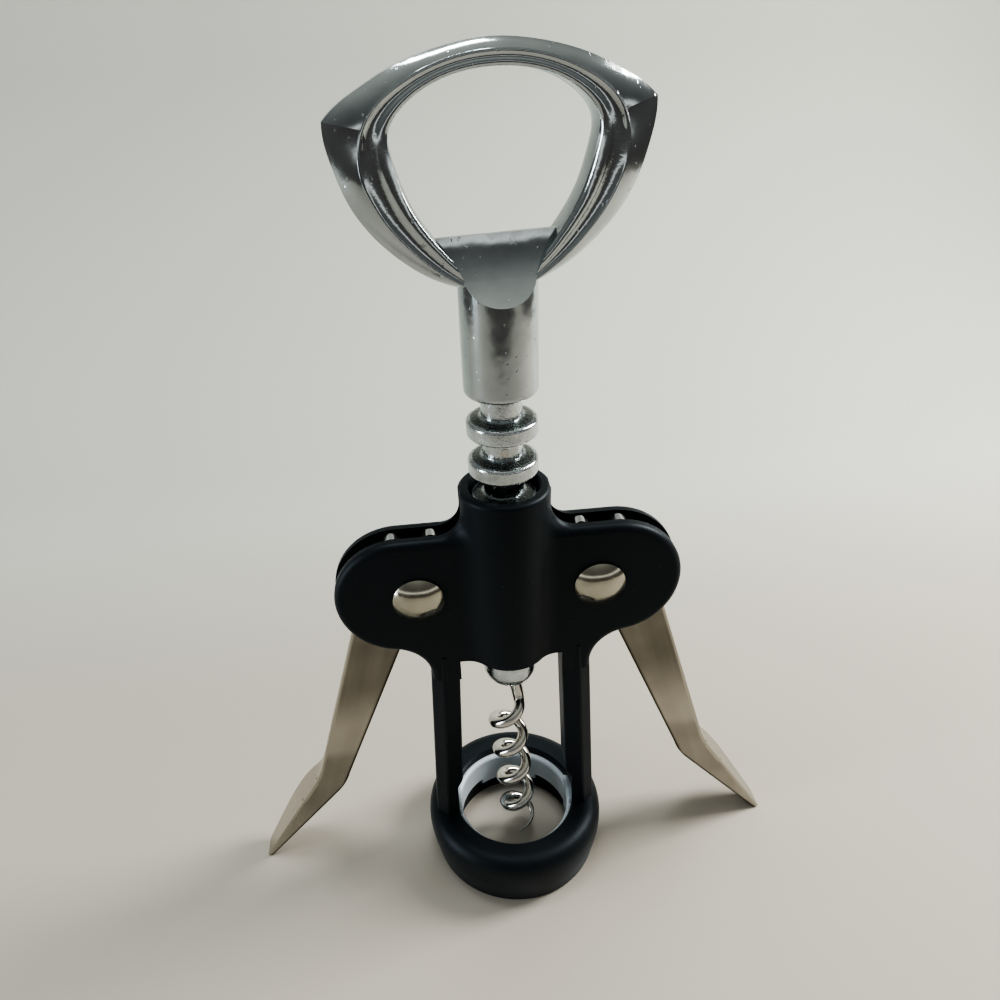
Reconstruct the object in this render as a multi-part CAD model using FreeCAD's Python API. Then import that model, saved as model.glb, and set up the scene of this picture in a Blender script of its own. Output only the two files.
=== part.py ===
import FreeCAD, Part
import math
import os

"""Wing corkscrew: cast frame, lined bottle collar, rack spindle, worm, opener handle, two geared levers.

Millimetres.  The origin is the centre of the collar's flat base, +Z runs up the spindle, +X towards the
right lever, and the front face is towards -Y.
"""

V = FreeCAD.Vector

# ---- collar -------------------------------------------------------------------------------------
COLLAR_BORE_R = 15.8       # takes the plastic liner
COLLAR_R = 23.3            # widest radius of the rounded outside
COLLAR_BASE_R = 21.9       # the outside draws in towards the base
COLLAR_H = 15.7

# ---- liner --------------------------------------------------------------------------------------
LINER_WALL = 1.3
LINER_BOTTOM_Z = 4.2
LINER_RECESS = 2.0         # its top lies this far below the collar's top edge
LINER_FIT = 0.03
LUG_W = 8.0                # two locating lugs under the legs
LUG_OUT = 1.1
LUG_H = 5.6
LUG_RISE = 1.5             # the lugs stand this far above the ring
LUG_SET_BACK = 0.25        # and their inner side this far behind the ring's
FOOT_H = 2.4               # height of the feet below the ring's lower edge
FOOT_W = 4.6
FOOT_ANGLES = (0, 67, 113, 180, 247, 293)    # degrees from +X

# ---- legs ---------------------------------------------------------------------------------------
LEG_TOP_IN = 12.0          # inner and outer x of the leg where it leaves the cheeks
LEG_TOP_OUT = 18.8
LEG_FOOT_IN = 14.0         # the same at the collar's top
LEG_FOOT_OUT = 21.1
LEG_RIDGE_TOP = 5.1        # how far the blunt ridge on the front and back stands out
LEG_RIDGE_FOOT = 6.2
LEG_RIDGE_SHIFT = 0.5      # the ridge runs this far outside the bar's middle
LEG_IN_SHARE = 0.62        # the bar's inner edges stand out by this share of the ridge
LEG_OUT_SHARE = 0.5        # and its outer edges by this share
LEG_EDGE_R = 0.9
LEG_SINK = 4.0             # the bar goes on this far into the collar
LEG_RISE = 1.5             # and this far up into the cheeks
LIP_ROOM_Z = 24.8          # a bottle's lip comes up this high between the legs
LIP_TAPER_H = 5.0          # above that the room narrows to the legs' own spacing

# ---- sleeve and cheeks --------------------------------------------------------------------------
SLEEVE_R = 9.9
SLEEVE_BOTTOM_R = 9.3
SLEEVE_TOP_Z = 113.5
SLEEVE_LIP_R = 1.0          # rounding of the sleeve's top edge
SLEEVE_MOUTH = 0.4          # bevel at the bore's top
HOUSING_BOTTOM_Z = 69.2
BORE_R = 7.62
CHEEK_Y = 4.7              # outer faces of the two cheeks
CHEEK_GAP = 3.8            # the levers turn in this gap
GAP_FLOOR_RUN = 1.4        # its floor lies this far below the lowest teeth
GAP_IN_SLEEVE = 0.4        # the gap goes on this far into the sleeve's wall
TEETH_RUN = 0.5            # room round the teeth where they reach through that wall
CHEEK_TOP_Z = 103.3
CHEEK_EDGE_R = 1.7
LOBE_R = 14.8
LOBE_X = 24.0
STUB_H = 1.0               # the cheeks end this far below their armpits, inside the legs
SHOULDER_R = 5.6           # hollow fillet where the sleeve grows out of the cheeks
ARMPIT_R = 9.4             # hollow curve from a leg into the lobe

# ---- pivots -------------------------------------------------------------------------------------
PIVOT_X = 20.2
PIVOT_Z = 88.5
RIVET_R = 2.5
RIVET_HEAD_R = 5.7
RIVET_HEAD_H = 1.6
RIVET_RIM_H = 0.45         # straight rim under the dome
RIVET_RIM_IN = 0.25        # it draws in by this much at the cheek
RIVET_DOME = (0.52, 0.8)   # the dome passes this share of its radius at this share of its rise
RIVET_FIT = 0.02           # in the cheeks
PIVOT_RUN = 0.05           # in the lever, which turns on it

# ---- rack spindle -------------------------------------------------------------------------------
RACK_PITCH = 8.7
RACK_RINGS = 7
RING_TOP_Z = 127.3         # middle of the top ring
RING_R = 7.27
RACK_ROOT_R = 4.2
RING_RIM_W = 3.6
RING_ROOT_W = 5.0
RING_EDGE_R = 0.7
NOSE_R = 6.25
NOSE_TOP_Z = 71.0
NOSE_BOTTOM_Z = 59.5
NOSE_TIP_R = 4.3
NOSE_ROUND_H = 4.4         # the nose rounds off over this height
NOSE_LIP = 0.3
SPIGOT_L = 4.5             # the spindle's top turns in the handle's neck

# ---- worm ---------------------------------------------------------------------------------------
SHANK_R = 2.2
SHANK_RUN = 0.05           # radial clearance in the spindle
WORM_WIRE_R = 1.35
WORM_OUTER_R = 4.9
WORM_PITCH = 10.8
WORM_START_Z = 49.6        # the full helix begins here, at the right
WORM_TURNS = 4.28
WORM_POINT_TURNS = 0.6     # the last stretch tapers to a point
WORM_TIP_R = 0.15
WIRE_STEP = 0.03           # the point starts this much thinner than the wire, the lead-in ends thicker
WORM_LEAN = 3.6            # degrees that the helix leans towards +X going down
WORM_LEAN_Z = 28.0         # its leaning axis crosses the spindle's axis here
SHANK_END_Z = 67.0
SHANK_TAIL = 0.8           # the shank goes on this far past the start of the lead-in
LEAD_TOP_R = 2.15          # the lead-in thins from this to the wire
LEAD_REACH = 4.0           # pull of the lead-in's curve at the helix and at the shank
LEAD_DROP = 4.0
SHANK_IN_NECK = 11.0

# ---- retaining pin ------------------------------------------------------------------------------
PIN_R = 0.9
PIN_PROUD = 0.12
PIN_FIT = 0.01
PIN_GROOVE_R = 1.5
PIN_RUN = 0.12

# ---- handle -------------------------------------------------------------------------------------
NECK_R = 7.41
NECK_GAP = 7.2             # from the top ring's middle up to the neck's lower end
NECK_EDGE_R = 1.3
NECK_FLOOR_GAP = 0.3
SPIGOT_RUN = 0.06
NECK_L = 20.9              # from there up to the loop's foot; the heights below are above that foot
WEB_BOTTOM = 1.6
WEB_TOP = 9.4
WEB_EDGE = 0.8             # thickness of the cap lifter's edge
WEB_HALF_W = 11.2
FACET_BOTTOM = -2.2        # lowest point of the dished facet, on the neck's front
FACET_WAIST = 1.2
FACET_WAIST_Y = 3.9
LOOP_TOP = 39.3
LOOP_TOP_BAND = 4.0
HORN_X = 27.8
HORN = 29.2
ARM_OUTSIDE = ((3.0, -0.3), (10.9, 2.1), (18.2, 7.3), (23.9, 14.2), (27.0, 22.4),
               (HORN_X, HORN))                 # (x, height) places up the right arm
ARCH_OUTSIDE = ((HORN_X, HORN), (26.2, 30.6), (22.4, 33.0), (15.5, 36.3),
                (8.0, LOOP_TOP - 0.9), (0, LOOP_TOP))
INSIDE = ((4.6, 2.2), (7.7, 5.5), (10.8, WEB_TOP), (14.7, 15.8), (16.8, 22.2), (17.35, 25.4), (17.0, 27.4),
          (15.8, 29.3), (11.9, 32.5), (6.0, 34.7), (0, LOOP_TOP - LOOP_TOP_BAND))
FOOT_IN = ((6.2, 1.6), (8.0, 5.3), (10.4, WEB_TOP))       # inner side of the right arm's foot
ARM_STEPS = 9              # stretches between the sections of an arm
ARCH_STEPS = 16            # and of the arch from horn to horn
ARM_T = 7.0                # thickness of the loop's arms, front to back
TOP_T = 6.0                # and of its top
ARM_RIDGE = 6.0            # from the opening to the ridge, in the arms
TOP_RIDGE = 2.1            # and at the top
THINNING = 9.0             # the change from one to the other starts this far below the horns
BEAD_SHARE = 0.45          # the bead takes this share of that distance, the hollow channel the rest
BEAD_DROP = 1.1            # the bead rounds off over this depth at the opening
CHANNEL_DIP = 0.13         # depth of the channel as a share of the distance
RIDGE_ROUND = 0.3          # half width of the ridge's rounded back
BAND_SINK = 0.12           # the band outside starts this far below the ridge
BAND_SWELL = 0.3           # and bulges by this much
RIM_T = 2.0                # flat outer rim
HANDLE_TURN = 4.9          # degrees that the handle stands turned about the spindle

# ---- levers -------------------------------------------------------------------------------------
TOOTH_STEP = 36.8          # degrees from tooth to tooth
TOOTH_LIFT = 0.4           # at rest a tooth lies this far above the middle of its gap in the rack
TEETH = 5
GEAR_TIP_R = 15.2
GEAR_ROOT_R = 12.1
TOOTH_W = 3.7              # at the pitch circle
TOOTH_TIP_W = 2.5
TOOTH_ROOT_W = 4.8
TOOTH_SINK = 0.6           # the tooth starts this far inside the hub
TOOTH_ROUND = 0.45         # rise of its rounded tip
LEVER_T = 2.4              # both plies of the folded sheet
SHEET_T = 1.2
ARM_OUT_TOP = (33.6, 87.0)       # (x, z) places along the arm's outer edge, from the hub down
ARM_OUT_KNEE = (49.3, 35.4)
KNEE_OUT_MID = (50.7, 31.3)
HAND_OUT_KNEE = (52.6, 27.6)
HAND_OUT_TIP = (69.7, 0.7)
ARM_IN_TOP = (22.4, 80.0)        # and along its inner edge
ARM_IN_KNEE = (42.9, 31.0)
KNEE_IN_MID = (44.7, 27.0)
HAND_IN_KNEE = (47.3, 23.6)
HAND_IN_TIP = (68.6, 0.1)        # clear of the table by this height
TIP_CORNER = 0.4
PAD_DEPTH = 9.7            # front face to back of the finger pad
PAD_WIDEST_Z = 17.0
PAD_START_Z = 41.0         # the back ply leaves the front one here
PAD_WEB_T = 1.62           # web along the outer edge, measured along X
PAD_OPEN = 2.5             # the pad is open inwards, this far past its edge
SLIT_W = 0.7
SLIT_DEPTH = 1.6
SLIT_Z = (20.6, 28.4)

PITCH_R = RACK_PITCH / math.radians(TOOTH_STEP)
LINER_TOP_Z = COLLAR_H - LINER_RECESS
HELIX_R = WORM_OUTER_R - WORM_WIRE_R
PIN_Z = RING_TOP_Z - RACK_PITCH / 2
PIVOT_GAP_Z = PIN_Z - RACK_PITCH * round((PIN_Z - PIVOT_Z) / RACK_PITCH)    # the rack's gap beside the pivots
TOOTH_LAST = 90 - math.degrees((PIVOT_GAP_Z + TOOTH_LIFT - PIVOT_Z) / PITCH_R)
NECK_BOTTOM_Z = RING_TOP_Z + NECK_GAP
LOOP_FOOT_Z = NECK_BOTTOM_Z + NECK_L
WEB_TOP_Z = LOOP_FOOT_Z + WEB_TOP


def line(a, b):
    return Part.makeLine(V(*a), V(*b))


def arc(a, mid, b):
    return Part.Arc(V(*a), V(*mid), V(*b)).toShape()


def spline(points):
    curve = Part.BSplineCurve()
    curve.interpolate([V(*p) for p in points])
    return curve.toShape()


def face_of(edges):
    return Part.Face(Part.Wire(Part.__sortEdges__(edges)))


def revolve(edges):
    return face_of(edges).revolve(V(0, 0, 0), V(0, 0, 1), 360)


def prism(edges, y0, y1):
    """Extrude a closed outline drawn in the XZ plane from y0 to y1."""
    solid = face_of(edges).extrude(V(0, y1 - y0, 0))
    solid.translate(V(0, y0, 0))
    return solid


def polygon(points, y0, y1):
    corners = [(x, 0, z) for x, z in points]
    ends = corners[1:] + corners[:1]
    return prism([line(a, b) for a, b in zip(corners, ends)], y0, y1)


def both_sides(solid):
    return solid.fuse(solid.mirror(V(0, 0, 0), V(1, 0, 0)))


def fillet_where(solid, radius, chosen):
    return solid.makeFillet(radius, [e for e in solid.Edges if chosen(e)])


# ---- frame --------------------------------------------------------------------------------------

def collar():
    """Ring with a rounded shoulder, drawn in towards the base."""
    outside = spline([
        (COLLAR_BASE_R, 0, 0.5), (COLLAR_BASE_R + 1.0, 0, 6.0), (COLLAR_R, 0, 10.8),
        (COLLAR_R - 0.6, 0, COLLAR_H - 1.9), (COLLAR_R - 2.3, 0, COLLAR_H - 0.35),
        (COLLAR_BORE_R + 2.4, 0, COLLAR_H), (COLLAR_BORE_R + 0.5, 0, COLLAR_H - 0.15)])
    return revolve([
        outside,
        line((COLLAR_BORE_R + 0.5, 0, COLLAR_H - 0.15), (COLLAR_BORE_R, 0, COLLAR_H - 0.6)),
        line((COLLAR_BORE_R, 0, COLLAR_H - 0.6), (COLLAR_BORE_R, 0, 0)),
        line((COLLAR_BORE_R, 0, 0), (COLLAR_BASE_R - 0.5, 0, 0)),
        line((COLLAR_BASE_R - 0.5, 0, 0), (COLLAR_BASE_R, 0, 0.5))])


def leg_section(x_in, x_out, ridge, z):
    """Six-sided bar section with a blunt ridge along its front and back."""
    x_ridge = (x_in + x_out) / 2 + LEG_RIDGE_SHIFT
    y_in = LEG_IN_SHARE * ridge
    y_out = LEG_OUT_SHARE * ridge
    points = [(x_in, -y_in), (x_ridge, -ridge), (x_out, -y_out),
              (x_out, y_out), (x_ridge, ridge), (x_in, y_in)]
    corners = [(x, y, z) for x, y in points]
    return Part.Wire([line(a, b) for a, b in zip(corners, corners[1:] + corners[:1])])


def leg():
    top_z = HOUSING_BOTTOM_Z + LEG_RISE
    foot_z = COLLAR_H - LEG_SINK
    spread = (LEG_FOOT_IN - LEG_TOP_IN) / (top_z - COLLAR_H)
    extra = spread * (COLLAR_H - foot_z)
    bar = Part.makeLoft([
        leg_section(LEG_TOP_IN, LEG_TOP_OUT, LEG_RIDGE_TOP, top_z),
        leg_section(LEG_FOOT_IN + extra, LEG_FOOT_OUT + extra, LEG_RIDGE_FOOT, foot_z)], True, True)
    long_edges = [e for e in bar.Edges if abs(e.tangentAt(e.FirstParameter).z) > 0.9]
    return bar.makeFillet(LEG_EDGE_R, long_edges)


def lip_room():
    """The bore goes on up between the legs, then narrows."""
    straight = Part.makeCylinder(COLLAR_BORE_R, LIP_ROOM_Z)
    return straight.fuse(Part.makeCone(COLLAR_BORE_R, LEG_TOP_IN, LIP_TAPER_H, V(0, 0, LIP_ROOM_Z)))


def cheek_slab():
    """Both cheeks as one slab with the lobes and the stubs that the legs grow from."""
    pit_x = LEG_TOP_OUT + ARMPIT_R
    reach = LOBE_R + ARMPIT_R
    pit_z = PIVOT_Z - math.sqrt(reach ** 2 - (pit_x - LOBE_X) ** 2)
    share = LOBE_R / reach
    touch = (LOBE_X + (pit_x - LOBE_X) * share, 0, PIVOT_Z + (pit_z - PIVOT_Z) * share)
    turn = math.atan2(touch[2] - pit_z, touch[0] - pit_x)
    mid_angle = (turn + math.pi) / 2
    pit_mid = (pit_x + ARMPIT_R * math.cos(mid_angle), 0, pit_z + ARMPIT_R * math.sin(mid_angle))
    lobe_top = (LOBE_X, 0, PIVOT_Z + LOBE_R)
    stub_z = pit_z - STUB_H
    edges = [
        line((0, 0, HOUSING_BOTTOM_Z), (LEG_TOP_IN, 0, HOUSING_BOTTOM_Z)),
        line((LEG_TOP_IN, 0, HOUSING_BOTTOM_Z), (LEG_TOP_IN, 0, stub_z)),
        line((LEG_TOP_IN, 0, stub_z), (LEG_TOP_OUT, 0, stub_z)),
        line((LEG_TOP_OUT, 0, stub_z), (LEG_TOP_OUT, 0, pit_z)),
        arc((LEG_TOP_OUT, 0, pit_z), pit_mid, touch),
        arc(touch, (LOBE_X + LOBE_R, 0, PIVOT_Z), lobe_top),
        line(lobe_top, (0, 0, CHEEK_TOP_Z)),
        line((0, 0, CHEEK_TOP_Z), (0, 0, HOUSING_BOTTOM_Z))]
    slab = both_sides(prism(edges, -CHEEK_Y, CHEEK_Y)).removeSplitter()

    def outer_rim(edge):
        box = edge.BoundBox
        flat = box.YLength < 0.01 and abs(abs(box.YMin) - CHEEK_Y) < 0.01
        centre = edge.CenterOfMass
        above_legs = centre.z > stub_z + 0.1 and abs(centre.x) > LEG_TOP_IN
        return flat and (above_legs or centre.z > PIVOT_Z)

    return fillet_where(slab, CHEEK_EDGE_R, outer_rim)


def sleeve():
    """Round barrel of the spindle, drawn in a little towards its lower end, with a rounded lip."""
    lip_z = SLEEVE_TOP_Z - SLEEVE_LIP_R
    soft = SLEEVE_LIP_R * (1 - math.sqrt(0.5))
    return revolve([
        line((0, 0, HOUSING_BOTTOM_Z), (SLEEVE_BOTTOM_R, 0, HOUSING_BOTTOM_Z)),
        line((SLEEVE_BOTTOM_R, 0, HOUSING_BOTTOM_Z), (SLEEVE_R, 0, lip_z)),
        arc((SLEEVE_R, 0, lip_z), (SLEEVE_R - soft, 0, SLEEVE_TOP_Z - soft),
            (SLEEVE_R - SLEEVE_LIP_R, 0, SLEEVE_TOP_Z)),
        line((SLEEVE_R - SLEEVE_LIP_R, 0, SLEEVE_TOP_Z), (0, 0, SLEEVE_TOP_Z)),
        line((0, 0, SLEEVE_TOP_Z), (0, 0, HOUSING_BOTTOM_Z))])


def housing():
    """Sleeve and cheeks as one, with a hollow fillet all the way round where they meet."""
    body = cheek_slab().fuse(sleeve()).removeSplitter()
    rise = SLEEVE_TOP_Z - SLEEVE_LIP_R - HOUSING_BOTTOM_Z

    def on_both(point):
        sleeve_r = SLEEVE_BOTTOM_R + (SLEEVE_R - SLEEVE_BOTTOM_R) * (point.z - HOUSING_BOTTOM_Z) / rise
        on_sleeve = abs(math.hypot(point.x, point.y) - sleeve_r) < 0.02
        return on_sleeve and abs(point.y) < CHEEK_Y + 0.02 and point.z > HOUSING_BOTTOM_Z + 0.01

    def junction(edge):
        span = edge.LastParameter - edge.FirstParameter
        return all(on_both(edge.valueAt(edge.FirstParameter + share * span)) for share in (0.1, 0.5, 0.9))

    return fillet_where(body, SHOULDER_R, junction)


def lever_gap():
    """Room between the cheeks, and through the sleeve's wall where the teeth reach the rack."""
    half = CHEEK_GAP / 2
    floor_z = PIVOT_Z - GEAR_TIP_R - GAP_FLOOR_RUN
    outside = Part.makeBox(2 * LOBE_X, CHEEK_GAP, SLEEVE_TOP_Z - floor_z,
                           V(SLEEVE_R - GAP_IN_SLEEVE, -half, floor_z))
    disc = Part.makeCylinder(GEAR_TIP_R + TEETH_RUN, CHEEK_GAP, V(PIVOT_X, -half, PIVOT_Z), V(0, 1, 0))
    return both_sides(outside.fuse(disc))


def frame_casting():
    lug_end = COLLAR_BORE_R + LUG_OUT
    lug_cut = Part.makeBox(2 * lug_end, LUG_W + 2 * LINER_FIT, LUG_H + 1.0,
                           V(-lug_end, -LUG_W / 2 - LINER_FIT, LINER_TOP_Z + LUG_RISE - LUG_H - LINER_FIT))
    rivet_hole = Part.makeCylinder(
        RIVET_R + RIVET_FIT, 4 * CHEEK_Y, V(PIVOT_X, -2 * CHEEK_Y, PIVOT_Z), V(0, 1, 0))
    body = housing().fuse([both_sides(leg()), collar()])
    bore = Part.makeCylinder(BORE_R, SLEEVE_TOP_Z, V(0, 0, COLLAR_H))
    mouth = Part.makeCone(BORE_R, BORE_R + SLEEVE_MOUTH, SLEEVE_MOUTH, V(0, 0, SLEEVE_TOP_Z - SLEEVE_MOUTH))
    body = body.cut([bore, mouth, lip_room(), lug_cut, lever_gap(), both_sides(rivet_hole)])
    return body.removeSplitter()


def collar_liner():
    """Plastic ring that centres the bottle's lip, with a rolled-in top, short feet and two locating lugs."""
    outer = COLLAR_BORE_R - LINER_FIT
    inner = outer - LINER_WALL
    chamfer = LINER_WALL * 0.45
    roll = LINER_WALL * 0.9
    ring = revolve([
        line((inner, 0, LINER_BOTTOM_Z + chamfer), (inner + chamfer, 0, LINER_BOTTOM_Z)),
        line((inner + chamfer, 0, LINER_BOTTOM_Z), (outer, 0, LINER_BOTTOM_Z)),
        line((outer, 0, LINER_BOTTOM_Z), (outer, 0, LINER_TOP_Z)),
        line((outer, 0, LINER_TOP_Z), (inner + roll, 0, LINER_TOP_Z)),
        arc((inner + roll, 0, LINER_TOP_Z), (inner + 0.25 * roll, 0, LINER_TOP_Z - 0.25 * roll),
            (inner, 0, LINER_TOP_Z - roll)),
        line((inner, 0, LINER_TOP_Z - roll), (inner, 0, LINER_BOTTOM_Z + chamfer))])
    keep = [Part.makeCylinder(2 * outer, COLLAR_H, V(0, 0, LINER_BOTTOM_Z + FOOT_H))]
    for angle in FOOT_ANGLES:
        foot = Part.makeBox(2 * outer, FOOT_W, COLLAR_H, V(0, -FOOT_W / 2, 0))
        foot.rotate(V(0, 0, 0), V(0, 0, 1), angle)
        keep.append(foot)
    ring = ring.common(keep[0].fuse(keep[1:]))
    lug_bottom = LINER_TOP_Z + LUG_RISE - LUG_H
    lug = Part.makeBox(outer + LUG_OUT - inner, LUG_W, LUG_H, V(inner, -LUG_W / 2, lug_bottom))
    lug = fillet_where(lug, 0.8, lambda e: abs(e.tangentAt(0).z) > 0.9 and e.CenterOfMass.x > outer)
    lug = lug.cut(Part.makeCylinder(inner + LUG_SET_BACK, 2 * LUG_H, V(0, 0, lug_bottom - LUG_H / 2)))
    return ring.fuse(both_sides(lug)).removeSplitter()


def rivet():
    """Domed head, shank and the domed head formed on the far end."""
    def half(side):
        y = side * CHEEK_Y
        apex = side * (CHEEK_Y + RIVET_HEAD_H)
        rim = side * (CHEEK_Y + RIVET_RIM_H)
        mid = side * (CHEEK_Y + RIVET_RIM_H + RIVET_DOME[1] * (RIVET_HEAD_H - RIVET_RIM_H))
        profile = face_of([
            line((0, 0, 0), (0, apex, 0)),
            arc((0, apex, 0), (RIVET_DOME[0] * RIVET_HEAD_R, mid, 0), (RIVET_HEAD_R, rim, 0)),
            line((RIVET_HEAD_R, rim, 0), (RIVET_HEAD_R - RIVET_RIM_IN, y, 0)),
            line((RIVET_HEAD_R - RIVET_RIM_IN, y, 0), (RIVET_R, y, 0)),
            line((RIVET_R, y, 0), (RIVET_R, 0, 0)),
            line((RIVET_R, 0, 0), (0, 0, 0))])
        return profile.revolve(V(0, 0, 0), V(0, 1, 0), 360)

    solid = half(-1).fuse(half(1)).removeSplitter()
    solid.translate(V(PIVOT_X, 0, PIVOT_Z))
    return solid


# ---- spindle ------------------------------------------------------------------------------------

def ring_profile(z):
    """Upper flank, rounded rim and lower flank of one rack ring, from the top down."""
    rim = RING_RIM_W / 2
    root = RING_ROOT_W / 2
    flank_r = RING_R - RING_EDGE_R
    soft = RING_EDGE_R * 0.3
    return [
        line((RACK_ROOT_R, 0, z + root), (flank_r, 0, z + rim)),
        arc((flank_r, 0, z + rim), (RING_R - soft, 0, z + rim - soft), (RING_R, 0, z + rim - RING_EDGE_R)),
        line((RING_R, 0, z + rim - RING_EDGE_R), (RING_R, 0, z - rim + RING_EDGE_R)),
        arc((RING_R, 0, z - rim + RING_EDGE_R), (RING_R - soft, 0, z - rim + soft), (flank_r, 0, z - rim)),
        line((flank_r, 0, z - rim), (RACK_ROOT_R, 0, z - root))]


def rack_spindle():
    bore_r = SHANK_R + SHANK_RUN
    top = NECK_BOTTOM_Z + SPIGOT_L
    edges = [line((bore_r, 0, top), (RACK_ROOT_R, 0, top))]
    last = top
    for i in range(RACK_RINGS):
        z = RING_TOP_Z - i * RACK_PITCH
        edges.append(line((RACK_ROOT_R, 0, last), (RACK_ROOT_R, 0, z + RING_ROOT_W / 2)))
        edges += ring_profile(z)
        last = z - RING_ROOT_W / 2
    waist = NOSE_BOTTOM_Z + NOSE_ROUND_H
    mouth_r = NOSE_TIP_R - NOSE_LIP
    edges += [
        line((RACK_ROOT_R, 0, last), (NOSE_R - 0.6, 0, NOSE_TOP_Z)),
        line((NOSE_R - 0.6, 0, NOSE_TOP_Z), (NOSE_R, 0, NOSE_TOP_Z - 0.6)),
        line((NOSE_R, 0, NOSE_TOP_Z - 0.6), (NOSE_R, 0, waist)),
        arc((NOSE_R, 0, waist), (NOSE_R - 0.5, 0, waist - 0.6 * NOSE_ROUND_H),
            (NOSE_TIP_R, 0, NOSE_BOTTOM_Z)),
        line((NOSE_TIP_R, 0, NOSE_BOTTOM_Z), (mouth_r, 0, NOSE_BOTTOM_Z)),
        line((mouth_r, 0, NOSE_BOTTOM_Z), (bore_r, 0, SHANK_END_Z - 1.0)),
        line((bore_r, 0, SHANK_END_Z - 1.0), (bore_r, 0, top))]
    hole = Part.makeCylinder(PIN_R + PIN_FIT, 2 * RACK_ROOT_R, V(0, 0, PIN_Z), V(0, -1, 0))
    return revolve(edges).cut(hole)


def retaining_pin():
    """Peg through the spindle's wall into the worm shank's groove."""
    inner = PIN_GROOVE_R + PIN_RUN
    outer = RACK_ROOT_R + PIN_PROUD
    return Part.makeCylinder(PIN_R, outer - inner, V(0, -inner, PIN_Z), V(0, -1, 0))


def leaning(curve):
    """Tilt a centre line about the place where it crosses the spindle's axis."""
    curve.rotate(V(0, 0, WORM_LEAN_Z), V(0, 1, 0), -WORM_LEAN)
    return curve


def on_helix(turns_down):
    """Point on the worm's centre line this many turns below its start, and the upward direction."""
    angle = -2 * math.pi * turns_down
    foot = V(HELIX_R * math.cos(angle), HELIX_R * math.sin(angle), WORM_START_Z - WORM_PITCH * turns_down)
    ahead = foot + V(-2 * math.pi * foot.y, 2 * math.pi * foot.x, WORM_PITCH)
    step = leaning(Part.makeLine(foot, ahead))
    return step.Vertexes[0].Point, step.tangentAt(step.FirstParameter)


def helix(first, last):
    """Right-handed stretch of the centre line between two places, counted in turns from the start."""
    stretch = Part.makeHelix(WORM_PITCH, WORM_PITCH * (last - first), HELIX_R)
    stretch.rotate(V(0, 0, 0), V(0, 0, 1), -360 * last)
    stretch.translate(V(0, 0, WORM_START_Z - WORM_PITCH * last))
    return leaning(stretch)


def lead_in():
    """The wire leaves the shank on its axis and swings out into the helix."""
    start, upwards = on_helix(0)
    curve = Part.BezierCurve()
    end = V(0, 0, SHANK_END_Z)
    curve.setPoles([start, start + upwards * LEAD_REACH, end - V(0, 0, LEAD_DROP), end])
    return curve.toShape()


def wire_ring(turns_down, radius):
    point, upwards = on_helix(turns_down)
    return Part.Wire(Part.makeCircle(radius, point, upwards))


def tapered(path, first, last):
    """Sweep a round section that changes from the first ring to the last along the path."""
    sweep = Part.BRepOffsetAPI.MakePipeShell(Part.Wire(path.Edges))
    sweep.setFrenetMode(True)
    sweep.add(first)
    sweep.add(last)
    sweep.build()
    sweep.makeSolid()
    return sweep.shape()


def worm():
    """Straight shank that thins and runs out into a right-handed helix of round wire with a point."""
    taper_start = WORM_TURNS - WORM_POINT_TURNS
    ring = wire_ring(taper_start, WORM_WIRE_R)
    coil = Part.Wire(helix(0, taper_start).Edges).makePipeShell([ring], True, True)
    point = tapered(helix(taper_start, WORM_TURNS), wire_ring(WORM_TURNS, WORM_TIP_R),
                    wire_ring(taper_start, WORM_WIRE_R - WIRE_STEP))
    shank_ring = Part.Wire(Part.makeCircle(LEAD_TOP_R, V(0, 0, SHANK_END_Z), V(0, 0, 1)))
    lead = tapered(lead_in(), wire_ring(0, WORM_WIRE_R + WIRE_STEP), shank_ring)
    top = NECK_BOTTOM_Z + SPIGOT_L + NECK_FLOOR_GAP + SHANK_IN_NECK
    shank_z = SHANK_END_Z - SHANK_TAIL
    shank = Part.makeCylinder(SHANK_R, top - shank_z, V(0, 0, shank_z))
    groove_h = 2 * PIN_R + 2 * PIN_RUN
    groove = Part.makeCylinder(2 * SHANK_R, groove_h, V(0, 0, PIN_Z - groove_h / 2))
    groove = groove.cut(Part.makeCylinder(PIN_GROOVE_R, groove_h, V(0, 0, PIN_Z - groove_h / 2)))
    return shank.cut(groove).fuse([lead, coil, point])


# ---- handle -------------------------------------------------------------------------------------

def track_section(at, half, ridge, width):
    """Section of the rounded bead, the channel and the ridge along the opening."""
    bead = BEAD_SHARE * ridge
    dip = CHANNEL_DIP * ridge
    edge = (0.1 * bead, half - BEAD_DROP)
    crease = (bead, half - 0.4 * dip)
    ridge_in = (ridge - RIDGE_ROUND, half - BAND_SINK)
    ridge_out = (ridge + RIDGE_ROUND, half - BAND_SINK)
    under = (ridge + 2 * RIDGE_ROUND, half - BEAD_DROP)

    def profile(side):
        return [arc(at(*edge, side), at(0.5 * bead, half, side), at(*crease, side)),
                arc(at(*crease, side), at((bead + ridge) / 2, half - dip, side), at(*ridge_in, side)),
                arc(at(*ridge_in, side), at(ridge, half, side), at(*ridge_out, side)),
                line(at(*ridge_out, side), at(*under, side))]

    return Part.Wire(Part.sortEdges(profile(-1) + profile(1) + [
        arc(at(*edge, 1), at(0, 0, 1), at(*edge, -1)), line(at(*under, -1), at(*under, 1))])[0])


def band_section(at, half, ridge, width):
    """Section of the swelling band, from under the channel and the ridge out to the flat rim."""
    start = half - BAND_SINK
    rim = RIM_T / 2
    middle = ((ridge + width) / 2, (start + rim) / 2 + BAND_SWELL)
    under = ((BEAD_SHARE + 1) / 2 * ridge, half - BEAD_DROP)

    def profile(side):
        return [line(at(*under, side), at(ridge, start, side)),
                arc(at(ridge, start, side), at(*middle, side), at(width, rim, side))]

    return Part.Wire(Part.sortEdges(profile(-1) + profile(1) + [
        line(at(*under, 1), at(*under, -1)), line(at(width, rim, -1), at(width, rim, 1))])[0])


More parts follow.
